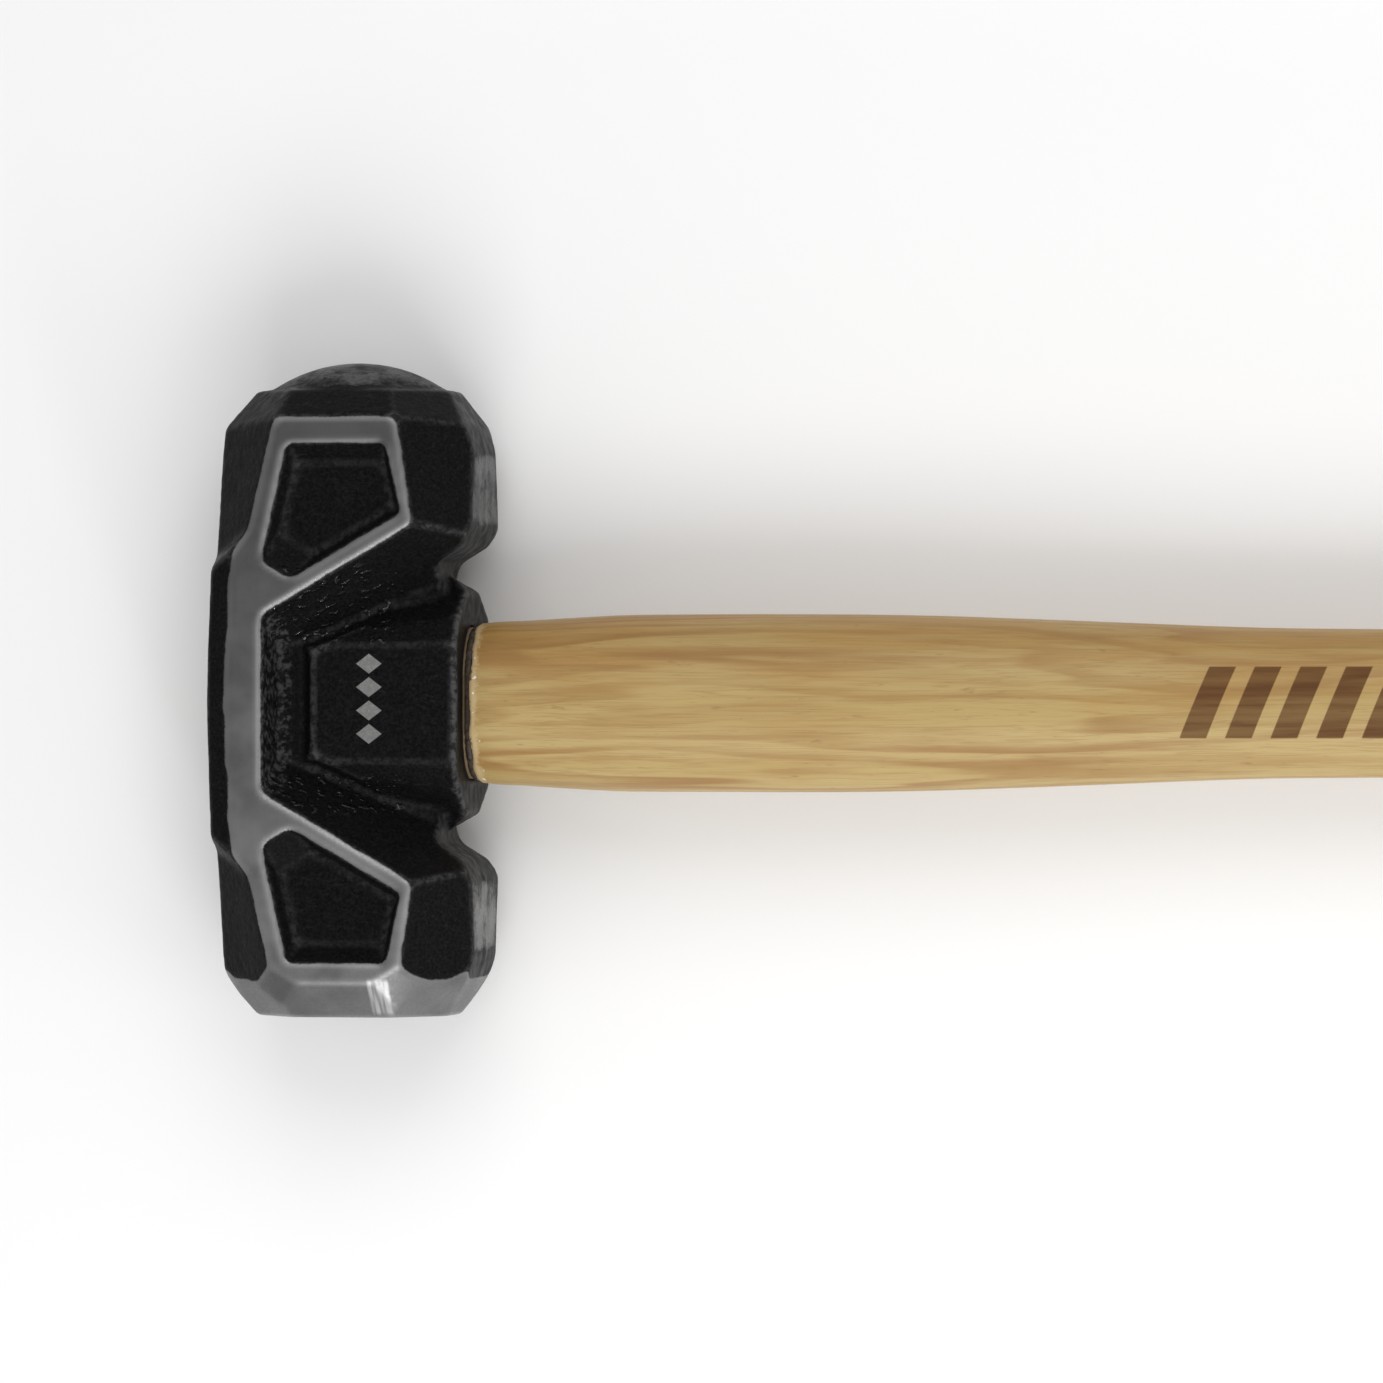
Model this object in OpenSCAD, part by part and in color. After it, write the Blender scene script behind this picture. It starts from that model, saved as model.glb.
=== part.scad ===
// Sledgehammer lying on one cheek: +X runs along the handle to its grip, +Y along the
// strike axis to the crowned face, +Z up through the cheeks. The origin is in the plane
// that the head lies on, at the middle of the lower cheek's back bar.

/* [Head] */
// Head length between the two face rims
head_len = 156; // [140:2:170]
// Head width along the handle, without the eye boss
head_w = 64; // [60:1:68]
// Head depth between the cheek pads
head_d = 62; // [58:1:66]
// Width of a striking face, rim to rim
face_w = 49; // [44:1:54]
// Height of the crown on the upper striking face
crown_h = 7; // [4:0.5:9]
// Diameter of the crown where it rises from the face
crown_d = 44; // [38:1:46]
// Half depth of a face's straight edges at the front and back
rim_edge_half = 7; // [5:0.5:12]
// Half width of a face's straight edges at the cheeks
rim_cheek_half = 13; // [10:0.5:15]
// Knee of a lobe's corner at the back: inset from the back, drop from the rim
knee_back = [0.6, 9]; // [0.5:0.1:12]
// Knee of a lobe's corner at the front: inset from the front, drop from the rim
knee_front = [1.7, 9.5]; // [0.5:0.1:12]
// Drop from the rim to where the side is straight
corner_end = 15; // [13:1:18]
// Bulge of the back between the lobes
back_bulge = 1; // [0:0.1:1.5]

/* [Cheek pads] */
// Chamfer between a pad and the crowned face: drop along the strike axis, depth
crown_end_chamfer = [7, 9]; // [4:0.5:12]
// Chamfer between a pad and the flat face: drop along the strike axis, depth
flat_end_chamfer = [8.5, 9]; // [4:0.5:12]
// Radius of the cone ground round the flat face, at the face
grind_r = 26.7; // [26:0.1:30]
// How much the ground cone's radius grows, per unit of length
grind_slope = 0.65; // [0.5:0.05:0.8]
// Rim-side corner of a pad at the back: inset from the back, inset from the rim
pad_back_rim = [17, 7.5]; // [5:0.5:40]
// Rim-side corner of a pad at the front: inset from the front, inset from the rim
pad_front_rim = [16.4, 7]; // [5:0.5:40]
// Inner corner of a pad at the front: inset from the front, inset from the rim
pad_front_waist = [12.3, 33.7]; // [5:0.5:40]
// Inner corner of a pad at the back: inset from the back, inset from the rim
pad_back_waist = [10.7, 34.7]; // [5:0.5:40]
// Depth that the lobes' long chamfers reach at the head's sides
lobe_chamfer_depth = 16; // [12:1:20]
// End of the back bar's edge: inset from the back, inset from the rim
bar_end = [6.4, 39.7]; // [4:0.1:42]
// Inset of the back bar's edge at its middle
bar_edge = 4.3; // [3:0.1:6]
// Width of the back bar's flat, from the back
bar_w = 13.8; // [12:0.1:16]
// Depth of the chamfer along the back bar
bar_chamfer = 3.5; // [2:0.5:6]
// Slope that ends the back bar at a lobe: fall along the strike axis, depth
bar_end_slope = [1.3, 13]; // [1:0.1:14]

/* [Pockets] */
// Depth of the pocket in each lobe
pocket_depth = 5; // [3:0.5:7]
// Height along the strike axis of a point inside the pocket
pocket_middle_y = 48; // [45:1:55]
// How far each pocket wall leans in over its depth, in the order of the corners
pocket_drafts = [4.8, 2, 2.6, 8, 2.4]; // [1:0.1:9]
// Pocket corners from the head's middle, rim side first, clockwise seen from above
pocket_corners = [[-12, 64.5], [13, 64.8], [17, 46.9], [-11.2, 30.5], [-18.5, 35]];

/* [Channels and boss] */
// Half width of the channel's mouth where it leaves the back bar
channel_root = 22.2; // [20:0.1:26]
// Depth of the channel's floor under the cheek pads, at the head's middle
channel_depth = 16; // [13:0.5:18]
// Fall of the channel's floor towards the handle, per unit of length
channel_fall = 0.21; // [0.1:0.01:0.25]
// Where the boss ends, from the head's middle along the handle
boss_end = 29.3; // [28:0.1:31]
// Half depth of the boss at its flats
boss_half_d = 22.5; // [21:0.5:24]
// Half width of the boss at its tips
boss_half_w = 31; // [30:0.1:32]
// Half width of the boss at its end, inside the tips' corners
boss_end_half_w = 27.5; // [26:0.1:29]
// Half width of the side notches between lobe and boss
notch_y = 35; // [33:0.5:37]
// Where the floor of a side notch is, from the head's middle along the handle
notch_x = 22.8; // [21:0.1:25]
// Bend in the notch's slope up to the lobe: inset from the front, rise from the notch
notch_bend = [2.5, 4]; // [1:0.5:6]
// Rise from the notch to the lobe's straight side
notch_rise = 8.5; // [6:0.5:10]
// Lean of the channel's wall along the back bar
root_wall_lean = 1.3; // [0.5:0.1:3]
// Where the arms' walls meet the channel's floor: along the handle, from the handle's axis
arm_foot = [23.2, 30.6]; // [20:0.1:34]
// Width of the boss's flat at its back, at its bend and at its end, from the handle's axis
boss_flat_half = [13.5, 17.2, 15]; // [12:0.1:20]
// Where the boss's flat starts and bends, from the head's middle along the handle
boss_flat_x = [-7, 2.5]; // [-8:0.1:5]
// Where the boss's back edge is, and its foot, from the head's middle along the handle
boss_back_x = [-7.4, -10.3]; // [-12:0.1:-5]
// Corner of the boss's end: distance from the handle's axis, depth under the flats
boss_end_corner = [21.5, 4]; // [2:0.5:23]
// Tip of the boss: inset from its end, inset from its full width, half depth
boss_tip_inset = [3, 0.5, 3]; // [0.5:0.5:5]

/* [Eye] */
// Distance between the centres of the eye's round ends
eye_centres = 12; // [8:1:16]
// Radius of the eye's ends at its waist
eye_r_waist = 12.2; // [11:0.1:13]
// Radius of the eye's ends at its mouths
eye_r_mouth = 13.2; // [12.8:0.1:13.4]

/* [Handle] */
// Overall length, back of the head to the end of the grip
overall_len = 900; // [700:10:920]
// Depth of the handle's oval over its height
oval_ratio = 0.76; // [0.7:0.01:0.85]
// Gap between the boss and the handle's shoulder, which the bead fills
shoulder_gap = 2; // [1:0.5:3]
// Thickness of the bead round the tenon
bead_t = 0.9; // [0.6:0.1:1.2]
// How far the tenon's end stands below the head's back
tenon_inset = 0.4; // [0:0.1:1]
// Half height of the handle at each share of its free length
handle_shape = [[0, 19.9], [0.004, 20.2], [0.02, 20.9], [0.042, 21.9], [0.07, 22.1], [0.1, 22.1],
    [0.14, 21.6], [0.19, 20], [0.235, 18.6], [0.3, 18.1], [0.46, 17.6], [0.64, 17.3],
    [0.8, 17.5], [0.88, 18.6], [0.94, 20.6], [0.972, 21.2], [0.988, 20], [0.997, 16.5], [1, 12]];
// Rings worked out between two listed heights
handle_steps = 2; // [1:1:3]
// Points round one ring of the handle
ring_points = 32; // [24:4:40]
// Fullness of the handle's oval: 1 is an ellipse, less is fuller
oval_power = 0.94; // [0.85:0.01:1]

/* [Wedges] */
// Wooden wedge: thickness at the back, thickness at its tip
wood_wedge_t = [5.4, 1]; // [0.5:0.1:7]
// Length of the wooden wedge
wood_wedge_len = 46; // [35:1:50]
// Steel wedge: thickness at the back, thickness at its tip
steel_wedge_t = [3.4, 0.5]; // [0.4:0.1:4]
// Length of a steel wedge
steel_wedge_len = 26; // [20:1:32]
// Width of a steel wedge
steel_wedge_w = 17; // [12:1:20]
// Distance between the two steel wedges
steel_wedge_gap = 17; // [12:1:20]

/* [Hidden] */

half_l = head_len / 2;
half_w = head_w / 2;
half_d = head_d / 2;
face_half = face_w / 2;
back_x = -half_w - back_bulge;
tenon_end = -half_w - back_bulge + tenon_inset;
shoulder_x = boss_end + shoulder_gap;
handle_end = back_x + overall_len;
handle_free = handle_end - shoulder_x;
big = 4 * head_len;

// The head's middle, where the handle's axis crosses the strike axis
head_middle = [half_w - (bar_edge + bar_w) / 2, 0, half_d];

// Corners on the cheek plane, in the upper quadrant nearest to the crown
pad_a = [-half_w + pad_back_rim[0], half_l - pad_back_rim[1], half_d];
pad_b = [half_w - pad_front_rim[0], half_l - pad_front_rim[1], half_d];
pad_c = [half_w - pad_front_waist[0], half_l - pad_front_waist[1], half_d];
pad_d = [-half_w + pad_back_waist[0], half_l - pad_back_waist[1], half_d];
bar_a = [-half_w + bar_end[0], half_l - bar_end[1], half_d];
bar_b = [-half_w + bar_edge, 0, half_d];
arm_root = [-half_w + bar_w, channel_root, half_d];
pocket_middle = [0, pocket_middle_y, half_d];
lobe_mid = half_l - 20;
lobe_low = half_d - lobe_chamfer_depth;

// The channel's floor falls towards the handle; the arms' walls meet it in a crease
function floor_z(x) = half_d - channel_depth - channel_fall * x;
crease = [arm_foot[0], arm_foot[1], floor_z(arm_foot[0])];

// Corners of the boss, in the same quadrant
boss_flat_root = [boss_flat_x[0], boss_flat_half[0], boss_half_d];
boss_flat_bend = [boss_flat_x[1], boss_flat_half[1], boss_half_d - 0.5];
boss_flat_end = [boss_end, boss_flat_half[2], boss_half_d];
boss_flat_mid = [-3, 14.2, boss_half_d];
boss_edge_end = [boss_end, boss_end_corner[0], boss_half_d - boss_end_corner[1]];
boss_tip = [boss_end - boss_tip_inset[0], boss_half_w - boss_tip_inset[1], boss_tip_inset[2]];
boss_corner = [boss_end, boss_end_half_w, 0];
boss_foot = [crease[0], crease[1] - 1.2, crease[2]];
boss_back = [boss_back_x[0], 0, boss_half_d];
boss_back_foot = [boss_back_x[1], 0, floor_z(boss_back_x[1])];
boss_side = [boss_end - 5, boss_half_w, 0];

crown_r = (pow(crown_d / 2, 2) + pow(crown_h, 2)) / (2 * crown_h);
crown_facets = 120;

// All that lies past the plane through a point with this outward normal
module beyond(through, normal) {
    tilt = acos(normal[2] / norm(normal));
    turn = atan2(normal[1], normal[0]);
    translate(through) rotate([0, tilt, turn])
        translate([-big / 2, -big / 2, 0]) cube(big);
}

// All that lies past the plane through three points, on the side away from the anchor
module past(p, q, r, anchor = [0, 0, 0]) {
    n = cross(q - p, r - p);
    beyond(p, n * (p - anchor) > 0 ? n : -n);
}

// The children in the quadrant where they are drawn and in the three mirrored ones
module all_quadrants() {
    for (y_side = [0, 1], z_side = [0, 1])
        mirror([0, y_side, 0]) mirror([0, 0, z_side]) children();
}

module both_cheeks() {
    for (z_side = [0, 1]) mirror([0, 0, z_side]) children();
}

// Outline of the head seen on its cheek, with the notches on both sides of the boss
module head_outline() {
    upper = [
        [back_x, 0], [-half_w, bar_a[1]], [-half_w, half_l - corner_end],
        [-half_w + knee_back[0], half_l - knee_back[1]], [-face_half, half_l],
        [face_half, half_l], [half_w - knee_front[0], half_l - knee_front[1]],
        [half_w, half_l - corner_end], [half_w, notch_y + notch_rise],
        [half_w - notch_bend[0], notch_y + notch_bend[1]],
        [notch_x, notch_y]
    ];
    lower = [for (i = [len(upper) - 1:-1:1]) [upper[i][0], -upper[i][1]]];
    polygon(concat(upper, lower));
}

// Everything outside the chamfers round the end of one quadrant, with this chamfer to the face
module end_chamfers(chamfer) {
    face_depth = half_d - chamfer[1];
    past([0, half_l - chamfer[0], half_d], [1, half_l - chamfer[0], half_d], [0, half_l, face_depth]);
    past(pad_a, [-rim_cheek_half, half_l, face_depth], [-face_half, half_l, rim_edge_half]);
    past(pad_b, [rim_cheek_half, half_l, face_depth], [face_half, half_l, rim_edge_half]);
}

// Everything outside the cone that is ground round the flat face
module ground_cone() {
    rotate([90, 0, 0]) difference() {
        cylinder(h = big, r = big, $fn = 4);
        cylinder(h = half_l, r1 = grind_r + grind_slope * half_l, r2 = grind_r, $fn = 96);
    }
}

// Everything outside the long chamfers along one quadrant of a lobe and the back bar
module side_chamfers() {
    past(pad_b, pad_c, [half_w, lobe_mid, lobe_low]);
    past(bar_b, bar_a, [-half_w - back_bulge / 2, bar_a[1] / 2, half_d - bar_chamfer]);
    intersection() {
        past(pad_a, pad_d, [-half_w, lobe_mid, lobe_low]);
        past(pad_d, bar_a, [back_x, bar_a[1] - bar_end_slope[0], half_d - bar_end_slope[1]],
            [0, 0, half_d]);
    }
}

// The C-shaped channel on the upper cheek, without the boss that stands in it
module channel() {
    intersection() {
        beyond([0, 0, floor_z(0)], [channel_fall, 0, 1]);
        past(arm_root, [arm_root[0], 0, half_d],
            [arm_root[0] + root_wall_lean, 0, floor_z(arm_root[0])], [back_x, 0, half_d]);
        past(arm_root, pad_c, crease, [0, half_l, half_d]);
        mirror([0, 1, 0]) past(arm_root, pad_c, crease, [0, half_l, half_d]);
    }
}

// A pocket with leaning walls in the upper lobe's cheek
module pocket() {
    difference() {
        translate([-half_w, 0, half_d - pocket_depth]) cube([head_w, half_l, head_d]);
        for (i = [0:len(pocket_corners) - 1]) {
            a = pocket_corners[i];
            b = pocket_corners[(i + 1) % len(pocket_corners)];
            along = (b - a) / norm(b - a);
            foot = a + [along[1], -along[0]] * pocket_drafts[i];
            past([a[0], a[1], half_d], [b[0], b[1], half_d],
                [foot[0], foot[1], half_d - pocket_depth], pocket_middle);
        }
    }
}

// The flared boss round the eye
module boss() {
    difference() {
        translate([-half_w / 2, -boss_half_w, -boss_half_d])
            cube([half_w / 2 + boss_end, 2 * boss_half_w, 2 * boss_half_d]);
        both_cheeks() past(boss_back, boss_back + [0, 1, 0], boss_back_foot);
        for (y_side = [0, 1]) mirror([0, y_side, 0])
            past(boss_corner, boss_corner + [0, 0, 1], boss_side);
        all_quadrants() {
            past(boss_flat_mid, boss_flat_end, boss_edge_end);
            past(boss_flat_bend, boss_edge_end, boss_tip);
            past(boss_flat_root, boss_flat_bend, boss_foot);
        }
    }
}

// A tapered oval along the handle from x0 to x1, with end radii r0 and r1
module oval_taper(x0, x1, r0, r1) {
    translate([x0, 0, 0]) {
        for (side = [-1, 1]) translate([0, side * eye_centres / 2, 0]) rotate([0, 90, 0])
            cylinder(h = x1 - x0, r1 = r0, r2 = r1, $fn = 96);
        translate([0, eye_centres / 2, 0]) rotate([90, 0, 0]) linear_extrude(eye_centres)
            polygon([[0, -r0], [x1 - x0, -r1], [x1 - x0, r1], [0, r0]]);
    }
}

// Radius of the eye's round ends, which grows from the waist to both mouths
function eye_radius(place) = eye_r_waist + (eye_r_mouth - eye_r_waist) * abs(place) / boss_end;

module eye(from, to) {
    oval_taper(from, 0, eye_radius(from), eye_r_waist);
    oval_taper(0, to, eye_r_waist, eye_radius(to));
}

// The driven wooden wedge: a thin taper along the long way of the eye
module wood_wedge_blank() {
    tip = tenon_end + wood_wedge_len;
    rotate([90, 0, 0]) linear_extrude(3 * eye_centres + 10, center = true)
        polygon([[tenon_end, -wood_wedge_t[0] / 2], [tip, -wood_wedge_t[1] / 2],
            [tip, wood_wedge_t[1] / 2], [tenon_end, wood_wedge_t[0] / 2]]);
}

module steel_wedge_blank() {
    tip = tenon_end + steel_wedge_len;
    linear_extrude(steel_wedge_w, center = true)
        polygon([[tenon_end, -steel_wedge_t[0] / 2], [tip, -steel_wedge_t[1] / 2],
            [tip, steel_wedge_t[1] / 2], [tenon_end, steel_wedge_t[0] / 2]]);
}

// The upper (1) or lower (-1) steel wedge, across the wooden one
module steel_wedge(side) {
    translate([0, side * steel_wedge_gap / 2, 0]) steel_wedge_blank();
}

// Smooth value between four listed ones, at share t of the middle stretch
function blend4(a, b, c, d, t) =
    0.5 * (2 * b + (c - a) * t + (2 * a - 5 * b + 4 * c - d) * t * t
        + (3 * b - a - 3 * c + d) * t * t * t);

function listed(i) = handle_shape[max(0, min(len(handle_shape) - 1, i))];

// Points of the handle's upper edge: place along the handle, half height
function handle_edge() = concat(
    [for (i = [0:len(handle_shape) - 2], s = [0:handle_steps - 1]) let (
        t = s / handle_steps,
        share = listed(i)[0] + t * (listed(i + 1)[0] - listed(i)[0]),
        half = blend4(listed(i - 1)[1], listed(i)[1], listed(i + 1)[1], listed(i + 2)[1], t)
    ) [shoulder_x + share * handle_free, half]],
    [[handle_end, listed(len(handle_shape))[1]]]);

// One ring of the handle: an oval a little fuller than an ellipse
function oval_point(place, half, angle) = [
    place,
    half * sign(cos(angle)) * pow(abs(cos(angle)), oval_power),
    half * oval_ratio * sign(sin(angle)) * pow(abs(sin(angle)), oval_power)
];

// One point of the tenon, which has the eye's own section
function tenon_point(place, angle) = let (r = eye_radius(place)) [
    place,
    r * cos(angle) + sign(cos(angle)) * eye_centres / 2,
    r * sin(angle)
];

// Tenon, shoulder and handle in one skin of rings
module shaft_blank() {
    edge = handle_edge();
    tenon = [tenon_end, 0, shoulder_x];
    rings = len(tenon) + len(edge);
    turns = [for (k = [0:ring_points - 1]) 360 * (k + 0.5) / ring_points];
    points = concat(
        [for (place = tenon, angle = turns) tenon_point(place, angle)],
        [for (p = edge, angle = turns) oval_point(p[0], p[1], angle)]);
    skin = [for (i = [0:rings - 2], k = [0:ring_points - 1]) let (
        here = i * ring_points, next = (k + 1) % ring_points
    ) [here + k, here + next, here + ring_points + next, here + ring_points + k]];
    start = [for (k = [ring_points - 1:-1:0]) k];
    end = [for (k = [0:ring_points - 1]) (rings - 1) * ring_points + k];
    polyhedron(points, concat(skin, [start, end]));
}

module head() {
    color("#26272a") translate(head_middle) difference() {
        union() {
            difference() {
                linear_extrude(head_d, center = true) head_outline();
                all_quadrants() side_chamfers();
                both_cheeks() end_chamfers(crown_end_chamfer);
                both_cheeks() mirror([0, 1, 0]) end_chamfers(flat_end_chamfer);
                ground_cone();
                both_cheeks() channel();
            }
            boss();
            intersection() {
                translate([0, half_l + crown_h - crown_r, 0]) sphere(crown_r, $fn = crown_facets);
                translate([-half_w, half_l - 2, -half_d]) cube([head_w, crown_h + 4, head_d]);
            }
        }
        all_quadrants() pocket();
        eye(back_x - 1, boss_end + 1);
    }
}

module shaft() {
    color("#c79a5b") translate(head_middle) difference() {
        shaft_blank();
        wood_wedge_blank();
        for (side = [-1, 1]) steel_wedge(side);
    }
}

module eye_bead() {
    color("#d8c089") translate(head_middle) difference() {
        oval_taper(boss_end, shoulder_x, eye_r_mouth + bead_t, eye_r_mouth + bead_t);
        eye(tenon_end, shoulder_x + 1);
    }
}

module wood_wedge() {
    color("#b58a52") translate(head_middle) difference() {
        intersection() {
            wood_wedge_blank();
            eye(tenon_end, shoulder_x);
        }
        for (side = [-1, 1]) steel_wedge(side);
    }
}

module steel_wedge_upper() {
    color("#8b8d90") translate(head_middle) steel_wedge(1);
}

module steel_wedge_lower() {
    color("#8b8d90") translate(head_middle) steel_wedge(-1);
}

head();
shaft();
eye_bead();
wood_wedge();
steel_wedge_upper();
steel_wedge_lower();
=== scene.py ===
import math

import bpy
import numpy as np
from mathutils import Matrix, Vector, noise
from mathutils.bvhtree import BVHTree


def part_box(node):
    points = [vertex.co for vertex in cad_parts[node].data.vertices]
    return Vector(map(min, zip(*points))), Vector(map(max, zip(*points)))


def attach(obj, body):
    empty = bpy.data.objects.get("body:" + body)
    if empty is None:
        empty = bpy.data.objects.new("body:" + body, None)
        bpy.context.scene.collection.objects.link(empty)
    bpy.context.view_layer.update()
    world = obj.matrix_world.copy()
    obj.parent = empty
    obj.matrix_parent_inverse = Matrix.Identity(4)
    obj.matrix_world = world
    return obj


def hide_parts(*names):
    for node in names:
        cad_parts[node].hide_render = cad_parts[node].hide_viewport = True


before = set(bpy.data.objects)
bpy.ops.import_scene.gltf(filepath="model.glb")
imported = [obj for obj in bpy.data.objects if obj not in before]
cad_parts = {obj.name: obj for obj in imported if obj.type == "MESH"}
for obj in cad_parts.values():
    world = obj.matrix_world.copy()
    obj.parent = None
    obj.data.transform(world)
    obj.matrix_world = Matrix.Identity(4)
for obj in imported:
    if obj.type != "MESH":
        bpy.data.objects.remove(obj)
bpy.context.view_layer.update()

MM = 0.001
HEAD_LOW, HEAD_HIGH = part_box("head")
BEAD_LOW, BEAD_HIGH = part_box("eye_bead")
SHAFT_LOW, SHAFT_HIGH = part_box("shaft")
WEDGE_LOW, WEDGE_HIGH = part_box("wood_wedge")

# The head's middle: on the handle's axis, halfway between the cheeks, half the head's width behind its front
HALF_DEPTH = (HEAD_HIGH.z - HEAD_LOW.z) / 2 / MM
HALF_WIDTH = 32.0
HALF_LENGTH = -HEAD_LOW.y / MM
HEAD_MIDDLE = Vector((HEAD_HIGH.x - HALF_WIDTH * MM, 0, HALF_DEPTH * MM))

# Places along the handle, in millimetres from the head's middle
BOSS_END = (BEAD_LOW.x - HEAD_MIDDLE.x) / MM
SHOULDER = (BEAD_HIGH.x - HEAD_MIDDLE.x) / MM
GRIP_END = (SHAFT_HIGH.x - HEAD_MIDDLE.x) / MM
TENON_END = (SHAFT_LOW.x - HEAD_MIDDLE.x) / MM

# The eye's oval: two half circles, their centres on the strike axis
EYE_REACH = BEAD_HIGH.y / MM
BEAD_RADIUS = (BEAD_HIGH.z - HEAD_MIDDLE.z) / MM
EYE_CENTRE = EYE_REACH - BEAD_RADIUS
# How far the bead reaches past the tenon
BEAD_LAP = 1.1
TENON_RADIUS = BEAD_RADIUS - BEAD_LAP

# Section of the handle: depth over height, its fullness, and the points round one ring of the CAD handle
OVAL_RATIO = 0.76
OVAL_POWER = 0.94
CAD_RING_POINTS = 32

# Attributes of the head's mesh that its material reads, and how bare each kind of face is (1 is all steel)
BARE, EDGE = "bare_steel", "outer_edge"
GROUND, TRIMMED, CROWNED, PAINTED = 1.0, 0.4, 0.355, 0.0


# ---------------------------------------------------------------- node helpers


def new_material(name):
    """A material with its node tree and its shader."""
    material = bpy.data.materials.new(name)
    material.use_nodes = True
    tree = material.node_tree
    return material, tree, tree.nodes["Principled BSDF"]


def plug(tree, socket, value):
    """Gives a socket a value, or the output of another node."""
    if isinstance(value, bpy.types.NodeSocket):
        tree.links.new(value, socket)
    else:
        socket.default_value = value


def add(tree, kind, settings=None, **sockets):
    """A shader node. Sockets are given by name or as _number: a value or another node's output."""
    node = tree.nodes.new(kind)
    for key, value in (settings or {}).items():
        setattr(node, key, value)
    for key, value in sockets.items():
        plug(tree, node.inputs[int(key[1:]) if key[1:].isdigit() else key], value)
    return node


def vector_maths(tree, operation, a, b):
    return add(tree, "ShaderNodeVectorMath", {"operation": operation}, _0=a, _1=b).outputs[0]


def maths(tree, operation, a, b=0.0):
    return add(tree, "ShaderNodeMath", {"operation": operation}, _0=a, _1=b).outputs[0]


def product(tree, first, *others):
    for other in others:
        first = maths(tree, "MULTIPLY", first, other)
    return first


def place(tree):
    """Millimetres from the head's middle."""
    coords = add(tree, "ShaderNodeTexCoord").outputs["Object"]
    from_middle = vector_maths(tree, "SUBTRACT", coords, tuple(HEAD_MIDDLE))
    return vector_maths(tree, "MULTIPLY", from_middle, (1 / MM,) * 3)


def stretched(tree, here, along):
    """Coordinates for a pattern drawn out along the handle."""
    return vector_maths(tree, "MULTIPLY", here, (along, 1, 1))


def axes(tree, here):
    split = add(tree, "ShaderNodeSeparateXYZ", Vector=here)
    return split.outputs["X"], split.outputs["Y"], split.outputs["Z"]


def noise_at(tree, where, scale, detail=3.0, rough=0.5):
    """Noise from 0 to 1, mostly 0.3 to 0.7, with scale lumps to the millimetre."""
    node = add(tree, "ShaderNodeTexNoise", Vector=where, Scale=scale, Detail=detail, Roughness=rough)
    return node.outputs["Fac"]


def between(tree, value, low, high, to_low=0.0, to_high=1.0):
    """value rescaled from low..high to to_low..to_high, with soft ends."""
    node = add(tree, "ShaderNodeMapRange", {"interpolation_type": "SMOOTHSTEP"}, Value=value)
    for name, number in (("From Min", low), ("From Max", high), ("To Min", to_low), ("To Max", to_high)):
        node.inputs[name].default_value = number
    return node.outputs[0]


def inside(tree, value, low, high, soft):
    """1 where value is between low and high, with an edge of width soft."""
    return product(tree, between(tree, value, low - soft / 2, low + soft / 2),
                   between(tree, value, high - soft / 2, high + soft / 2, 1.0, 0.0))


def mix_colour(tree, factor, a, b, blend="MIX"):
    node = tree.nodes.new("ShaderNodeMix")
    node.data_type, node.blend_type = "RGBA", blend
    plug(tree, node.inputs["Factor"], factor)
    plug(tree, node.inputs[6], a)
    plug(tree, node.inputs[7], b)
    return node.outputs[2]


def mix_value(tree, factor, a, b):
    return add(tree, "ShaderNodeMix", _0=factor, _2=a, _3=b).outputs[0]


def bump(tree, height, distance, strength, under=None):
    """A normal bent by height, over the bump given as under."""
    node = add(tree, "ShaderNodeBump", Height=height, Distance=distance, Strength=strength)
    if under is not None:
        tree.links.new(under, node.inputs["Normal"])
    return node.outputs[0]


def rgb(r, g, b):
    return (r, g, b, 1.0)


def grey(level):
    return rgb(level, level, level)


# ---------------------------------------------------------------- materials


def printed_lozenges(tree, here):
    """A row of four lozenges printed on the boss's upper flat."""
    x, y, z = axes(tree, here)
    pitch, lowest, highest, middle_x, half_width, squeeze = 5.8, -10.5, 12.7, 7.2, 3.3, 2.3
    boss_top = (20.0, 24.0)
    step = maths(tree, "FRACT", maths(tree, "DIVIDE", maths(tree, "SUBTRACT", y, lowest), pitch))
    across = product(tree, maths(tree, "ABSOLUTE", maths(tree, "SUBTRACT", step, 0.5)), squeeze)
    along = maths(tree, "DIVIDE", maths(tree, "ABSOLUTE", maths(tree, "SUBTRACT", x, middle_x)), half_width)
    shape = between(tree, maths(tree, "ADD", across, along), 0.94, 1.02, 1.0, 0.0)
    return product(tree, shape, inside(tree, y, lowest, highest, 0.1), inside(tree, z, *boss_top, 0.2))


def wet_paint(tree, here):
    """1 on the channels' upper walls and the boss's lower edges, where thick paint ran and stayed glossy."""
    along, upper_wall, lower_edge, depths = (-19.0, 14.0), (15.0, 34.0), (-27.0, -18.0), (12.0, 30.6)
    x, y, z = axes(tree, here)
    strips = maths(tree, "ADD", inside(tree, y, *upper_wall, 2.0), inside(tree, y, *lower_edge, 2.0))
    below_cheek = inside(tree, maths(tree, "ABSOLUTE", z), *depths, 0.6)
    return product(tree, strips, inside(tree, x, *along, 3.0), below_cheek)


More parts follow.
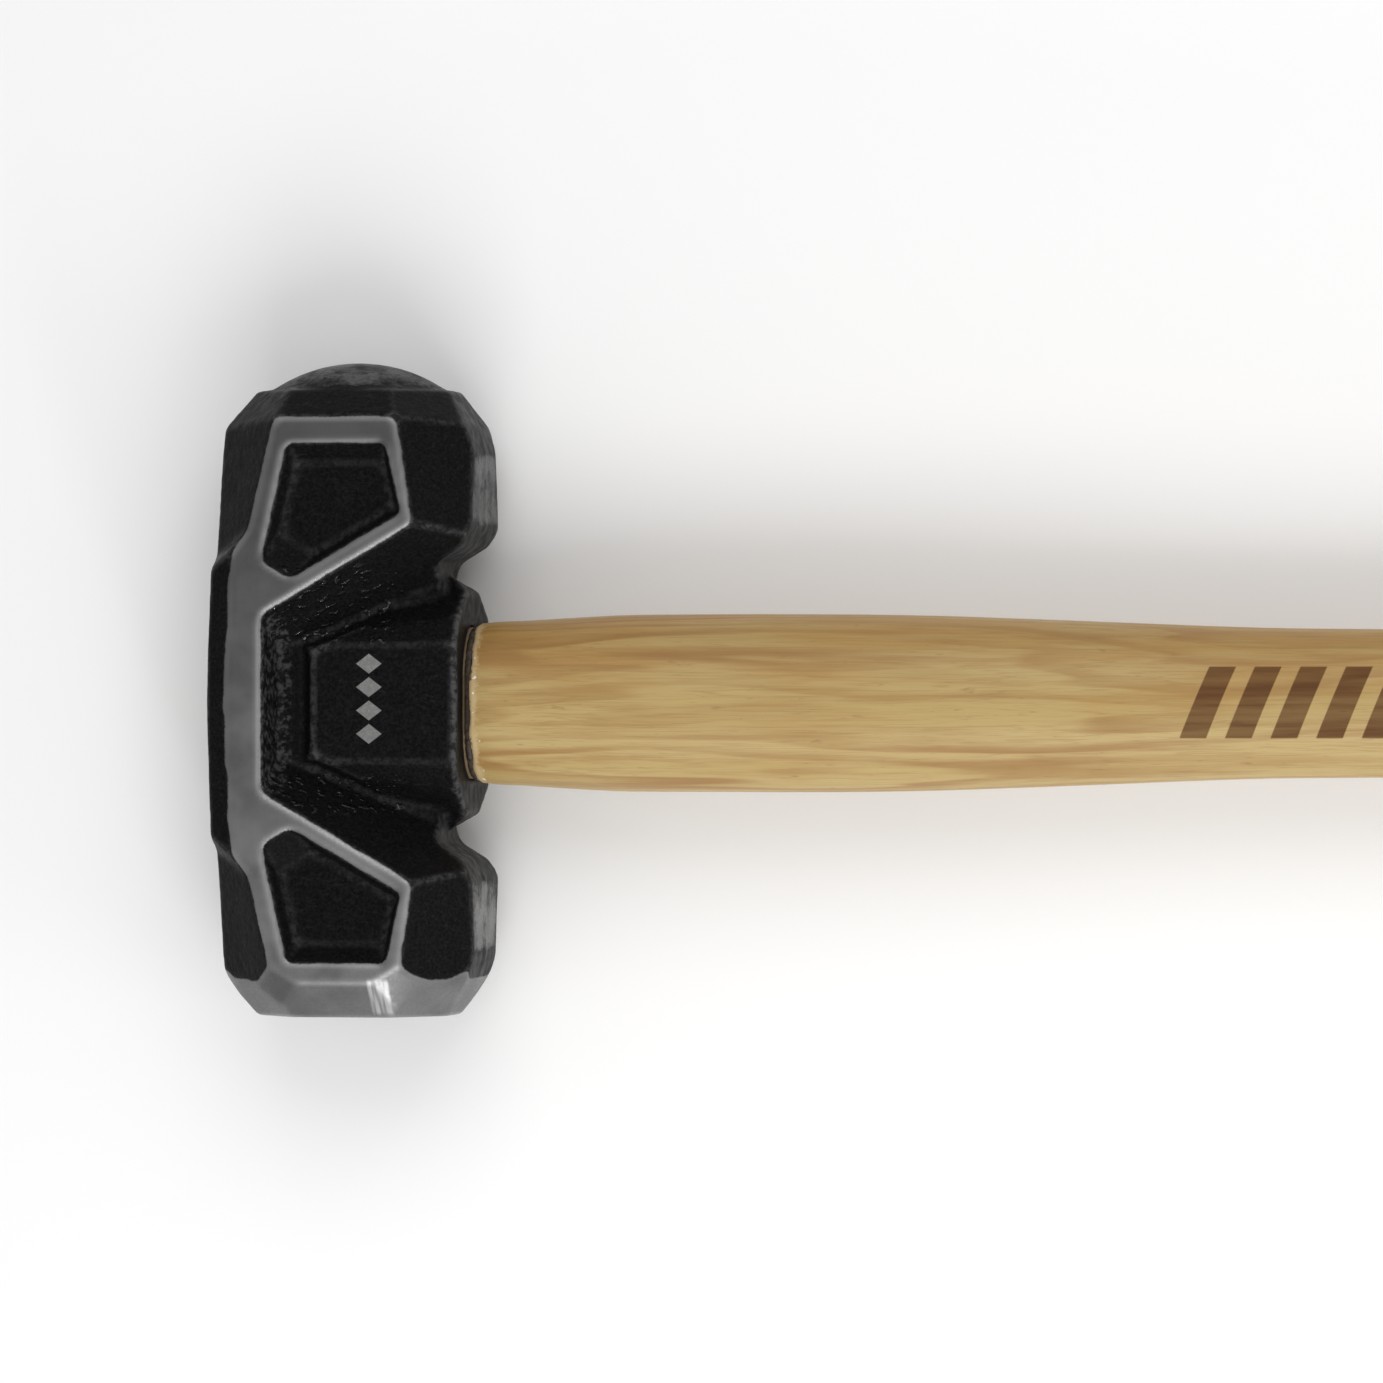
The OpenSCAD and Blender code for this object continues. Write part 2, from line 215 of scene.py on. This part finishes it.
def painted_corner_highlight(tree, here):
    """A painted highlight, streaked like scratches, where two ground facets meet, low on each cheek."""
    along, across, above, drawn_out = (8.5, 13.5), (-77.0, -68.5), (12.0, 14.0), (1.0, 0.07, 0.07)
    x, y, z = axes(tree, here)
    highlight_streaks = noise_at(tree, vector_maths(tree, "MULTIPLY", here, drawn_out), 0.9, 1.0)
    return product(tree, inside(tree, x, *along, 0.8), inside(tree, y, *across, 1.5),
                   between(tree, maths(tree, "ABSOLUTE", z), *above),
                   between(tree, highlight_streaks, 0.35, 0.6, 0.25, 0.9))


def steel_colour(tree, here, fine, edge):
    """Satin steel in soft patches, darker on the ground end, with painted shade towards the crown and edges
    lightened by wear and painted highlight.
    """
    painted_shade_to_crown, to_ground_end = (-60.0, 65.0), (-72.0, -66.0)
    _, y, _ = axes(tree, here)
    cloud = noise_at(tree, here, 0.05, 3.0, 0.6)
    steel = mix_colour(tree, between(tree, cloud, 0.35, 0.65), rgb(0.14, 0.14, 0.141), rgb(0.23, 0.23, 0.232))
    # Painted shade: the steel darkens towards the crown, the end turned from the key light
    steel = mix_colour(tree, between(tree, y, *painted_shade_to_crown, 0.0, 0.75), steel, grey(0.075))
    steel = mix_colour(tree, between(tree, y, *to_ground_end, 0.35, 0.0), steel, grey(0.1))
    steel = mix_colour(tree, between(tree, fine, 0.35, 0.8, 0.0, 0.25), steel, grey(0.09))
    # Partly wear, partly painted highlight: the steel lightens along the edges
    steel = mix_colour(tree, product(tree, edge, 0.5), steel, grey(0.42))
    # Painted highlight: a bright streaked patch where two ground facets meet
    return mix_colour(tree, painted_corner_highlight(tree, here), steel, grey(0.5))


def paint_colour(tree, here, fine, lumps, edge):
    """Black paint, dusty in places, crusted in the channels behind the boss, and lighter on the edges from
    wear and painted highlight.
    """
    behind_boss, beside_middle = (-24.0, -13.5), (-1.0, 22.0)
    x, y, _ = axes(tree, here)
    paint = mix_colour(tree, between(tree, fine, 0.3, 0.75),
                       rgb(0.0035, 0.0035, 0.0037), rgb(0.011, 0.011, 0.0115))
    dust = between(tree, noise_at(tree, stretched(tree, here, 0.35), 0.9, 4.0, 0.7), 0.54, 0.75, 0.0, 0.35)
    paint = mix_colour(tree, dust, paint, grey(0.03))
    crusted = product(tree, inside(tree, x, *behind_boss, 1.0),
                      inside(tree, maths(tree, "ABSOLUTE", y), *beside_middle, 2.0),
                      between(tree, lumps, 0.46, 0.66, 0.0, 0.8))
    paint = mix_colour(tree, crusted, paint, grey(0.06))
    # Partly wear, partly painted highlight: outer edges lighten as rubbed paint and edge highlight, inner
    # edges as painted highlight
    rubbed_and_highlit = product(tree, edge, between(tree, lumps, 0.38, 0.62, 0.2, 1.0))
    paint = mix_colour(tree, rubbed_and_highlit, paint, rgb(0.07, 0.07, 0.071))
    marks = product(tree, printed_lozenges(tree, here), between(tree, fine, 0.3, 0.6, 1.0, 0.75))
    return mix_colour(tree, marks, paint, rgb(0.22, 0.22, 0.215))


def head_material():
    """Black paint over forged steel: bare satin steel, and edges lightened by wear and painted highlight,
    where the attributes say.
    """
    material, tree, shader = new_material("forged_head")
    here = place(tree)
    fine = noise_at(tree, here, 1.4, 3.0, 0.7)
    lumps = noise_at(tree, here, 0.6, 3.0, 0.6)
    chips = noise_at(tree, here, 0.8, 4.0, 0.65)
    broad = noise_at(tree, here, 0.12, 2.0)
    mask = add(tree, "ShaderNodeAttribute", {"attribute_name": BARE}).outputs["Fac"]
    edge = add(tree, "ShaderNodeAttribute", {"attribute_name": EDGE}).outputs["Fac"]
    mask = maths(tree, "ADD", mask, between(tree, chips, 0.3, 0.7, -0.03, 0.03))
    mask = maths(tree, "ADD", mask, between(tree, broad, 0.3, 0.7, -0.05, 0.05))
    bare = between(tree, mask, 0.3, 0.46)
    colour = mix_colour(tree, bare, paint_colour(tree, here, fine, lumps, edge),
                        steel_colour(tree, here, fine, edge))
    tree.links.new(colour, shader.inputs["Base Color"])

    drops = between(tree, noise_at(tree, here, 0.45, 1.0, 0.4), 0.56, 0.7)
    drips = product(tree, wet_paint(tree, here), maths(tree, "SUBTRACT", 1.0, bare), drops)
    paint_gloss = between(tree, noise_at(tree, here, 0.35, 2.0), 0.3, 0.7, 0.28, 0.42)
    steel_gloss = between(tree, fine, 0.3, 0.7, 0.38, 0.5)
    tree.links.new(mix_value(tree, bare, paint_gloss, steel_gloss), shader.inputs["Roughness"])
    tree.links.new(mix_value(tree, bare, 0.0, 0.85), shader.inputs["Metallic"])
    tree.links.new(product(tree, drips, 0.9), shader.inputs["Coat Weight"])
    shader.inputs["Coat Roughness"].default_value = 0.12
    shader.inputs["Specular IOR Level"].default_value = 0.025

    # The front and back are smoother than the rest, and bare steel has no orange peel
    facing = add(tree, "ShaderNodeSeparateXYZ", Vector=add(tree, "ShaderNodeTexCoord").outputs["Normal"])
    side = between(tree, maths(tree, "ABSOLUTE", facing.outputs["X"]), 0.8, 0.95)
    peel = bump(tree, mix_value(tree, maths(tree, "MAXIMUM", side, bare), lumps, 0.5), 0.3 * MM, 0.5)
    runs = bump(tree, drips, 0.7 * MM, 0.8, peel)
    grit = bump(tree, mix_value(tree, side, fine, 0.5), 0.04 * MM, 0.5, runs)
    tree.links.new(grit, shader.inputs["Normal"])
    tree.links.new(runs, shader.inputs["Coat Normal"])
    return material


def growth_rings(tree, here):
    """0 in early wood to 1 in the dark line that ends a ring; the pith lies off the handle."""
    pith_y, pith_z, ring_width, waver = 30.0, -46.0, 4.2, 5.0
    wander = noise_at(tree, stretched(tree, here, 0.07), 0.09, 2.0, 0.4)
    _, y, z = axes(tree, here)
    across = maths(tree, "POWER", maths(tree, "SUBTRACT", y, pith_y), 2.0)
    deep = maths(tree, "POWER", maths(tree, "SUBTRACT", z, pith_z), 2.0)
    radius = maths(tree, "SQRT", maths(tree, "ADD", across, deep))
    radius = maths(tree, "ADD", radius, between(tree, wander, 0.2, 0.8, -waver, waver))
    share = maths(tree, "FRACT", maths(tree, "DIVIDE", radius, ring_width))
    return product(tree, between(tree, share, 0.3, 0.82), between(tree, share, 0.86, 1.0, 1.0, 0.0))


def burned_bars(tree, here):
    """Slanted bars burned into the upper side of the grip."""
    x, y, z = axes(tree, here)
    slant, pitch, bar, soft = 0.42, 11.2, 6.9, 0.4
    first, count, low, high, above = 212.0, 10, -8.5, 9.0, (2.0, 3.0)
    start = first - soft
    upright = maths(tree, "SUBTRACT", x, product(tree, y, slant))
    step = maths(tree, "MODULO", maths(tree, "SUBTRACT", upright, start), pitch)
    return product(tree, inside(tree, upright, start, start + pitch * count, 0.1),
                   inside(tree, y, low, high, soft), inside(tree, step, soft, bar, soft),
                   between(tree, z, *above))


def grain_colour(tree, here, streaks, fibres):
    """Sapwood and warmer heartwood with growth rings, streaks, fine lines, smudges and pores; the upper side
    is darker and browner, part heartwood and part painted shade.
    """
    heartwood_and_shade_span, heartwood_and_shade_wander = (-10.0, 20.0), 0.45
    _, y, _ = axes(tree, here)
    patches = noise_at(tree, stretched(tree, here, 0.14), 0.11, 3.0, 0.55)
    lines = noise_at(tree, stretched(tree, here, 0.022), 0.75, 2.0)
    smudges = noise_at(tree, stretched(tree, here, 0.3), 0.35, 3.0, 0.6)
    pores = noise_at(tree, stretched(tree, here, 0.09), 2.2, 2.0, 0.6)
    strength = between(tree, noise_at(tree, stretched(tree, here, 0.1), 0.1, 2.0), 0.35, 0.7, 0.3, 0.85)
    # Darker, browner upper side: part heartwood, part painted shade for the side turned from the key light
    heartwood_and_shade = maths(tree, "ADD", between(tree, y, *heartwood_and_shade_span),
                  between(tree, patches, 0.3, 0.7, -heartwood_and_shade_wander, heartwood_and_shade_wander))
    colour = mix_colour(tree, between(tree, heartwood_and_shade, 0.0, 1.2), rgb(0.47, 0.34, 0.135), rgb(0.41, 0.24, 0.070))
    for share, layer in (
            (product(tree, growth_rings(tree, here), strength), rgb(0.30, 0.15, 0.038)),
            (between(tree, streaks, 0.5, 0.72, 0.0, 0.5), rgb(0.32, 0.17, 0.05)),
            (between(tree, streaks, 0.28, 0.46, 0.3, 0.0), rgb(0.52, 0.40, 0.18)),
            (product(tree, inside(tree, lines, 0.485, 0.525, 0.03), 0.24), rgb(0.26, 0.135, 0.04)),
            (between(tree, fibres, 0.45, 0.75, 0.0, 0.25), rgb(0.27, 0.15, 0.05)),
            (between(tree, smudges, 0.66, 0.78, 0.0, 0.5), rgb(0.22, 0.105, 0.035)),
            (between(tree, pores, 0.66, 0.76, 0.0, 0.3), rgb(0.15, 0.075, 0.028))):
        colour = mix_colour(tree, share, colour, layer)
    return colour


def wood_material():
    """Clear-varnished hickory with a raw, frayed edge at the shoulder, painted shade in the gap before it,
    and burned marks.
    """
    material, tree, shader = new_material("hickory")
    here = place(tree)
    x, _, _ = axes(tree, here)
    streaks = noise_at(tree, stretched(tree, here, 0.06), 0.32, 3.0, 0.55)
    fibres = noise_at(tree, stretched(tree, here, 0.03), 2.4, 3.0, 0.65)
    frayed = noise_at(tree, here, 0.45, 4.0, 0.7)
    ragged = maths(tree, "ADD", x, between(tree, frayed, 0.3, 0.7, -0.8, 0.8))
    raw = between(tree, ragged, SHOULDER + 0.6, SHOULDER + 2.0, 0.75, 0.0)
    shavings = product(tree, between(tree, noise_at(tree, here, 0.6, 1.0), 0.68, 0.72),
                       inside(tree, x, SHOULDER + 0.2, SHOULDER + 2.2, 0.5))
    # Painted shade: the shoulder face and tenon darken in the gap between boss and shoulder
    shoulder_shade = between(tree, ragged, SHOULDER - 0.7, SHOULDER - 0.1, 0.85, 0.0)
    end_grain = between(tree, x, TENON_END + 1.0, TENON_END + 2.0, 0.6, 0.0)

    colour = grain_colour(tree, here, streaks, fibres)
    for share, layer in ((raw, rgb(0.56, 0.42, 0.23)), (shavings, rgb(0.85, 0.80, 0.72)),
                         (shoulder_shade, rgb(0.09, 0.055, 0.028)), (end_grain, rgb(0.20, 0.11, 0.045))):
        colour = mix_colour(tree, share, colour, layer)
    burn = burned_bars(tree, here)
    scorch = product(tree, burn, between(tree, streaks, 0.35, 0.65, 0.85, 1.0))
    colour = mix_colour(tree, scorch, colour, rgb(0.29, 0.185, 0.12), "MULTIPLY")
    tree.links.new(colour, shader.inputs["Base Color"])

    varnish = between(tree, fibres, 0.3, 0.7, 0.38, 0.5)
    gloss = mix_value(tree, maths(tree, "MAXIMUM", burn, raw), varnish, 0.75)
    tree.links.new(gloss, shader.inputs["Roughness"])
    grain = bump(tree, fibres, 0.05 * MM, 0.5)
    sunk = bump(tree, maths(tree, "SUBTRACT", 1.0, burn), 0.25 * MM, 0.7, grain)
    tree.links.new(sunk, shader.inputs["Normal"])
    shader.inputs["Specular IOR Level"].default_value = 0.35
    return material


def mottled_material(name, low, high, roughness, metallic=0.0, scale=0.6):
    """A mottled colour with uneven gloss and a fine bump, for the bead and the wedges."""
    material, tree, shader = new_material(name)
    mottle = noise_at(tree, place(tree), scale, 4.0, 0.6)
    colour = mix_colour(tree, between(tree, mottle, 0.3, 0.7), low, high)
    gloss = between(tree, mottle, 0.3, 0.7, roughness - 0.08, roughness + 0.1)
    tree.links.new(colour, shader.inputs["Base Color"])
    tree.links.new(gloss, shader.inputs["Roughness"])
    tree.links.new(bump(tree, mottle, 0.15 * MM, 0.5), shader.inputs["Normal"])
    shader.inputs["Metallic"].default_value = metallic
    return material


# ---------------------------------------------------------------- pieces


def link(name, mesh, material, node):
    """A new piece in the scene, which is shown in the place of a CAD node."""
    piece = bpy.data.objects.new(name, mesh)
    bpy.context.scene.collection.objects.link(piece)
    piece.data.materials.clear()
    piece.data.materials.append(material)
    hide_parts(node)
    return piece


def baked(piece):
    """Puts the modifiers' result in the piece's own mesh."""
    depsgraph = bpy.context.evaluated_depsgraph_get()
    mesh = bpy.data.meshes.new_from_object(piece.evaluated_get(depsgraph))
    piece.modifiers.clear()
    piece.data = mesh


def ground_steel(centre, normal):
    """How bare a CAD face is, by its place and outward normal, in millimetres from the head's middle."""
    ground_reach, straight = 16, 0.99
    on_cheek = abs(centre.z) > HALF_DEPTH - 0.05 and abs(normal.z) > straight
    flat_end = centre.y < -HALF_LENGTH + ground_reach and normal.y < -0.3
    if on_cheek or flat_end:
        return GROUND
    if normal.x > straight and centre.x > HALF_WIDTH - 0.1:
        return TRIMMED
    return CROWNED if centre.y > HALF_LENGTH + 0.2 or normal.y > straight else PAINTED


def head_faces():
    """The CAD head's faces as a tree to look them up in, and how bare each one is."""
    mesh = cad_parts["head"].data
    points = [(v.co - HEAD_MIDDLE) / MM for v in mesh.vertices]
    faces = [tuple(p.vertices) for p in mesh.polygons]
    middles = [sum((points[i] for i in face), Vector()) / len(face) for face in faces]
    bareness = [ground_steel(m, p.normal) for m, p in zip(middles, mesh.polygons)]
    return BVHTree.FromPolygons(points, faces), bareness


def neighbour_mean(values, mesh):
    """For each vertex, the mean of a value over the vertices it shares an edge with."""
    ends = np.empty(2 * len(mesh.edges), np.int32)
    mesh.edges.foreach_get("vertices", ends)
    a, b = ends.reshape(-1, 2).T
    size = len(mesh.vertices)
    total = np.bincount(a, values[b], size) + np.bincount(b, values[a], size)
    return total / (np.bincount(a, minlength=size) + np.bincount(b, minlength=size))


def spread(values, mesh, rounds):
    """Values averaged with their neighbours', which rounds the corners of an area."""
    own_share = 0.3
    for _ in range(rounds):
        values = own_share * values + (1 - own_share) * neighbour_mean(values, mesh)
    return values


def outer_edges(points, normals, mesh):
    """0 on flat places to 1 on the head's outer edges, and less on its inner ones; the material lightens
    these as wear and painted highlight.
    """
    faintest, sharpest, inner_share = 0.02, 0.08, 0.45
    pull = np.stack([neighbour_mean(points[:, axis], mesh) for axis in range(3)], 1) - points
    bend = spread(-(pull * normals).sum(1), mesh, 1)
    sharp = np.clip((np.abs(bend) - faintest) / (sharpest - faintest), 0, 1)
    # Inner edges get a share too, which the material paints as highlight
    return sharp * np.where(bend > 0, 1.0, inner_share)


def forged_relief(point, normal, bareness):
    """How far the surface stands out at a point, in millimetres: swell, pits, ripples and the flash line."""
    flat, lobe_start, pocket_start, pocket_floor = 0.9, 40, 30, (24, 28)
    swell = 0.10 * noise.noise(point * 0.11)
    pits = 0.05 * noise.noise(point * 0.45 + Vector((7, 3, 1)))
    in_lower_lobe = point.y < -pocket_start and pocket_floor[0] < abs(point.z) < pocket_floor[1]
    in_lower_pocket = normal.z > flat and in_lower_lobe
    on_lobe_side = abs(normal.x) > flat and abs(point.y) > lobe_start
    ripple = 0.22 * noise.noise(Vector((point.x * 0.16, point.y * 0.55, 5))) if in_lower_pocket else 0.0
    flash = 0.22 * math.exp(-(point.z / 1.6) ** 2) if on_lobe_side else 0.0
    ground_off = 0.85 * bareness
    return (swell + pits + ripple) * (1 - ground_off) + flash


def forged_head():
    """The CAD head with a forging's rounded edges and uneven skin."""
    piece = link("forged_head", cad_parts["head"].data.copy(), MATERIALS["head"], "head")
    remesh = piece.modifiers.new("remesh", "REMESH")
    remesh.mode = "VOXEL"
    remesh.voxel_size = 0.85 * MM
    remesh.use_smooth_shade = True
    smooth = piece.modifiers.new("smooth", "SMOOTH")
    smooth.factor, smooth.iterations = 0.5, 6
    baked(piece)
    mesh, (cad_faces, bareness) = piece.data, head_faces()
    points = [(v.co - HEAD_MIDDLE) / MM for v in mesh.vertices]
    normals = [v.normal.copy() for v in mesh.vertices]
    bare = np.array([bareness[cad_faces.find_nearest(point)[2]] for point in points])
    bare = spread(bare, mesh, 8)
    edge = outer_edges(np.array(points), np.array(normals), mesh)
    raised = [(point + normal * forged_relief(point, normal, share)) * MM + HEAD_MIDDLE
              for point, normal, share in zip(points, normals, bare)]
    mesh.vertices.foreach_set("co", np.array(raised, np.float32).ravel())
    for name, values in ((BARE, bare), (EDGE, edge)):
        mesh.attributes.new(name, "FLOAT", "POINT").data.foreach_set("value", values.astype(np.float32))
    mesh.update()
    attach(piece, "root")


def handle_heights(places):
    """The handle's half height at these places, on a smooth curve through the CAD handle's rings."""
    rings = {}
    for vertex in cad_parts["shaft"].data.vertices:
        key = round((vertex.co.x - HEAD_MIDDLE.x) / MM, 2)
        rings[key] = max(rings.get(key, 0.0), abs(vertex.co.y) / MM)
    known = np.array(sorted(k for k in rings if k > SHOULDER - 0.1))
    first_point = math.cos(math.pi / CAD_RING_POINTS) ** OVAL_POWER
    heights = np.array([rings[k] for k in known]) / first_point
    slopes = np.gradient(heights, known)
    spot = np.clip(np.searchsorted(known, places) - 1, 0, len(known) - 2)
    width = known[spot + 1] - known[spot]
    t = np.clip((places - known[spot]) / width, 0, 1)
    return ((2 * t**3 - 3 * t**2 + 1) * heights[spot] + (t**3 - 2 * t**2 + t) * width * slopes[spot]
            + (3 * t**2 - 2 * t**3) * heights[spot + 1] + (t**3 - t**2) * width * slopes[spot + 1])


def oval(place, half, turns, fray=0.0):
    """A ring of the handle, slightly uneven from shaving and frayed along the handle."""
    unevenness = 0.006
    ring = []
    for angle in turns:
        c, s = math.cos(angle), math.sin(angle)
        y = half * math.copysign(abs(c) ** OVAL_POWER, c)
        z = half * OVAL_RATIO * math.copysign(abs(s) ** OVAL_POWER, s)
        shaved = 1 + unevenness * noise.noise(Vector((place * 0.02, c * 1.5, s * 1.5)))
        torn = fray * noise.noise(Vector((c * 4, s * 4, 2)))
        ring.append((place + torn, y * shaved, z * shaved))
    return ring


def eye_oval(place, radius, turns):
    """A ring of the tenon."""
    return [(place, radius * math.cos(a) + math.copysign(EYE_CENTRE, math.cos(a)), radius * math.sin(a))
            for a in turns]


def skin(name, rings, closed):
    """A mesh through rings of points in millimetres: closed on itself, or with its two ends capped."""
    count = len(rings[0])
    points = [Vector(p) * MM + HEAD_MIDDLE for ring in rings for p in ring]
    spans = range(len(rings) if closed else len(rings) - 1)
    faces = [(i * count + k, i * count + (k + 1) % count,
              (i + 1) % len(rings) * count + (k + 1) % count, (i + 1) % len(rings) * count + k)
             for i in spans for k in range(count)]
    if not closed:
        faces.append(tuple(reversed(range(count))))
        faces.append(tuple(range((len(rings) - 1) * count, len(rings) * count)))
    mesh = bpy.data.meshes.new(name)
    mesh.from_pydata(points, [], faces)
    mesh.polygons.foreach_set("use_smooth", [True] * len(mesh.polygons))
    mesh.update()
    return mesh


def wedge_slot():
    """A solid a little longer than the wooden wedge, to cut its slot out of the tenon."""
    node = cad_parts["wood_wedge"].data
    back = max(v.co.z for v in node.vertices if v.co.x < WEDGE_LOW.x + 0.1 * MM) - HEAD_MIDDLE.z
    tip = max(v.co.z for v in node.vertices if v.co.x > WEDGE_HIGH.x - 0.1 * MM) - HEAD_MIDDLE.z
    past_end, past_side = 1, 3
    start, end = TENON_END - past_end, (WEDGE_HIGH.x - HEAD_MIDDLE.x) / MM
    reach = EYE_REACH + past_side
    rings = [[(place, y * reach, z * half / MM) for y, z in ((-1, -1), (1, -1), (1, 1), (-1, 1))]
             for place, half in ((start, back), (end, tip))]
    mesh = skin("wedge_slot", [ring[::-1] for ring in rings], False)
    mesh.polygons.foreach_set("use_smooth", [False] * len(mesh.polygons))
    cutter = bpy.data.objects.new("wedge_slot", mesh)
    bpy.context.scene.collection.objects.link(cutter)
    return cutter


def hickory_handle():
    """Tenon, rounded shoulder and long oval grip in one piece of wood, split by its wedges."""
    count = 96
    turns = [2 * math.pi * (k + 0.5) / count for k in range(count)]
    end_round, sunk = 0.7, 0.2
    # The grip's rings are even along it and close together at both ends
    places = np.concatenate([SHOULDER + np.array([0.9, 2.0, 3.5]),
                             np.linspace(SHOULDER + 6, GRIP_END - 14, 180),
                             GRIP_END - np.array([12, 9, 6.5, 4.5, 3, 2, 1.3, 0.8, 0.4])])
    heights = handle_heights(places)
    neck, tail = heights[0], heights[-1]
    rings = [eye_oval(TENON_END + sunk, TENON_RADIUS, turns), eye_oval(0, TENON_RADIUS - 1, turns),
             eye_oval(SHOULDER - 0.6, TENON_RADIUS, turns)]
    # The shoulder's rings: place along the handle, drop below the neck's height, and fraying
    shoulder = ((-0.1, 2.2, 0.3), (-0.4, 1.0, 0.8), (-0.2, 0.3, 0.6), (0.4, 0.05, 0.2))
    rings += [oval(SHOULDER + x, neck - drop, turns, fray) for x, drop, fray in shoulder]
    rings += [oval(place, half, turns) for place, half in zip(places, heights)]
    rings += [oval(GRIP_END - 0.1, tail - end_round, turns), oval(GRIP_END, tail - 2 * end_round, turns)]
    mesh = skin("hickory_handle", rings, False)
    piece = link("hickory_handle", mesh, MATERIALS["wood"], "shaft")
    slot = wedge_slot()
    for cutter in (slot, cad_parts["steel_wedge_upper"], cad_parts["steel_wedge_lower"]):
        cut = piece.modifiers.new("slot", "BOOLEAN")
        cut.operation, cut.solver, cut.object = "DIFFERENCE", "EXACT", cutter
    baked(piece)
    bpy.data.objects.remove(slot)
    piece.data.materials.clear()
    piece.data.materials.append(MATERIALS["wood"])
    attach(piece, "root")


def ragged_bead():
    """Adhesive squeezed out round the tenon, uneven all the way."""
    count, sides = ((240, 10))
    middle, half_width = (BOSS_END + SHOULDER) / 2, (SHOULDER - BOSS_END) / 2
    sunk, mean_rise = 0.2, 0.45
    rings = []
    for k in range(count):
        angle = 2 * math.pi * (k + 0.5) / count
        out = Vector((0, math.cos(angle), math.sin(angle)))
        core = out * (TENON_RADIUS - sunk) + Vector((0, math.copysign(EYE_CENTRE, out.y), 0))
        proud = mean_rise + 0.35 * noise.noise(core * 0.8) + 0.25 * noise.noise(core * 2.1)
        ring = []
        for j in range(sides):
            turn = 2 * math.pi * j / sides
            rise = max(0.0, math.sin(turn)) * proud
            ring.append(core + out * rise + Vector((middle + half_width * math.cos(turn), 0, 0)))
        rings.append(ring)
    piece = link("ragged_bead", skin("ragged_bead", rings, True), MATERIALS["bead"], "eye_bead")
    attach(piece, "root")


def dress(node, material):
    """A CAD node that is shown keeps its mesh and takes this material."""
    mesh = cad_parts[node].data
    mesh.materials.clear()
    mesh.materials.append(material)


# ---------------------------------------------------------------- floor, camera and light


def floor():
    """A plain pale floor, wide enough for every view."""
    reach = 30.0
    mesh = bpy.data.meshes.new("floor")
    corners = [(-reach, -reach, 0), (reach, -reach, 0), (reach, reach, 0), (-reach, reach, 0)]
    mesh.from_pydata(corners, [], [(0, 1, 2, 3)])
    ground = bpy.data.objects.new("floor", mesh)
    bpy.context.scene.collection.objects.link(ground)
    material, _, shader = new_material("floor")
    shader.inputs["Base Color"].default_value = grey(0.95)
    shader.inputs["Roughness"].default_value = 0.9
    mesh.materials.append(material)


def camera():
    """A long lens looking down on the cheek, turned towards the handle."""
    yaw = math.radians(10.4)
    distance, view_width, sensor = 2.5, 346 * MM, 36
    aim_along, aim_across = 83 * MM, 2.9 * MM
    back = Vector((math.sin(yaw), 0, math.cos(yaw)))
    right = Vector((math.cos(yaw), 0, -math.sin(yaw)))
    aim = HEAD_MIDDLE + right * aim_along + Vector((0, aim_across, 0))
    lens = bpy.data.cameras.new("camera")
    lens.sensor_width = sensor
    lens.lens = sensor * distance / view_width
    lens.clip_start, lens.clip_end = 0.1, 100
    eye = bpy.data.objects.new("camera", lens)
    eye.location = aim + back * distance
    eye.rotation_euler = (0, yaw, 0)
    bpy.context.scene.collection.objects.link(eye)
    bpy.context.scene.camera = eye


def softbox(name, where, size, power):
    """A soft light, in metres and watts, that faces the handle just outside the head."""
    aim = Vector((0.08, 0, 0.03))
    light = bpy.data.lights.new(name, "AREA")
    light.shape, light.size, light.size_y, light.energy = "RECTANGLE", size[0], size[1], power
    lamp = bpy.data.objects.new(name, light)
    lamp.location = where
    lamp.rotation_euler = (aim - Vector(where)).to_track_quat("-Z", "Y").to_euler()
    lamp.visible_camera = False
    bpy.context.scene.collection.objects.link(lamp)


def studio():
    """White surroundings, a large key light, a fill, a light from the grip's end and a small low glint."""
    world = bpy.data.worlds.new("studio")
    bpy.context.scene.world = world
    world.use_nodes = True
    backdrop = world.node_tree.nodes["Background"]
    backdrop.inputs["Color"].default_value = grey(1)
    backdrop.inputs["Strength"].default_value = 0.48
    # Each light's place, its two sides and its power
    softbox("key", (0.35, -0.95, 1.2), (1.1, 0.8), 10.4)
    softbox("glint", (0.35, -1.0, 0.3), (0.09, 0.09), 1.6)
    softbox("fill", (0.3, 0.9, 1.3), (1.2, 1.0), 7.5)
    softbox("side", (1.5, -0.5, 0.6), (0.7, 0.5), 3)
    bpy.context.scene.view_settings.view_transform = "Standard"


MATERIALS = {
    "head": head_material(),
    "wood": wood_material(),
    # The bead's glue colour is darkened to near black, part glue and part painted shade in the gap
    "bead": mottled_material("resin_bead", rgb(0.012, 0.008, 0.005), rgb(0.055, 0.035, 0.019), 0.55,
                             scale=1.1),
    "wedge": mottled_material("wedge_wood", rgb(0.30, 0.18, 0.08), rgb(0.45, 0.29, 0.13), 0.6),
    "steel": mottled_material("wedge_steel", grey(0.2), rgb(0.32, 0.32, 0.33), 0.4, 0.9),
}

camera()
studio()
floor()
forged_head()
hickory_handle()
ragged_bead()
dress("wood_wedge", MATERIALS["wedge"])
for side in ("upper", "lower"):
    dress(f"steel_wedge_{side}", MATERIALS["steel"])
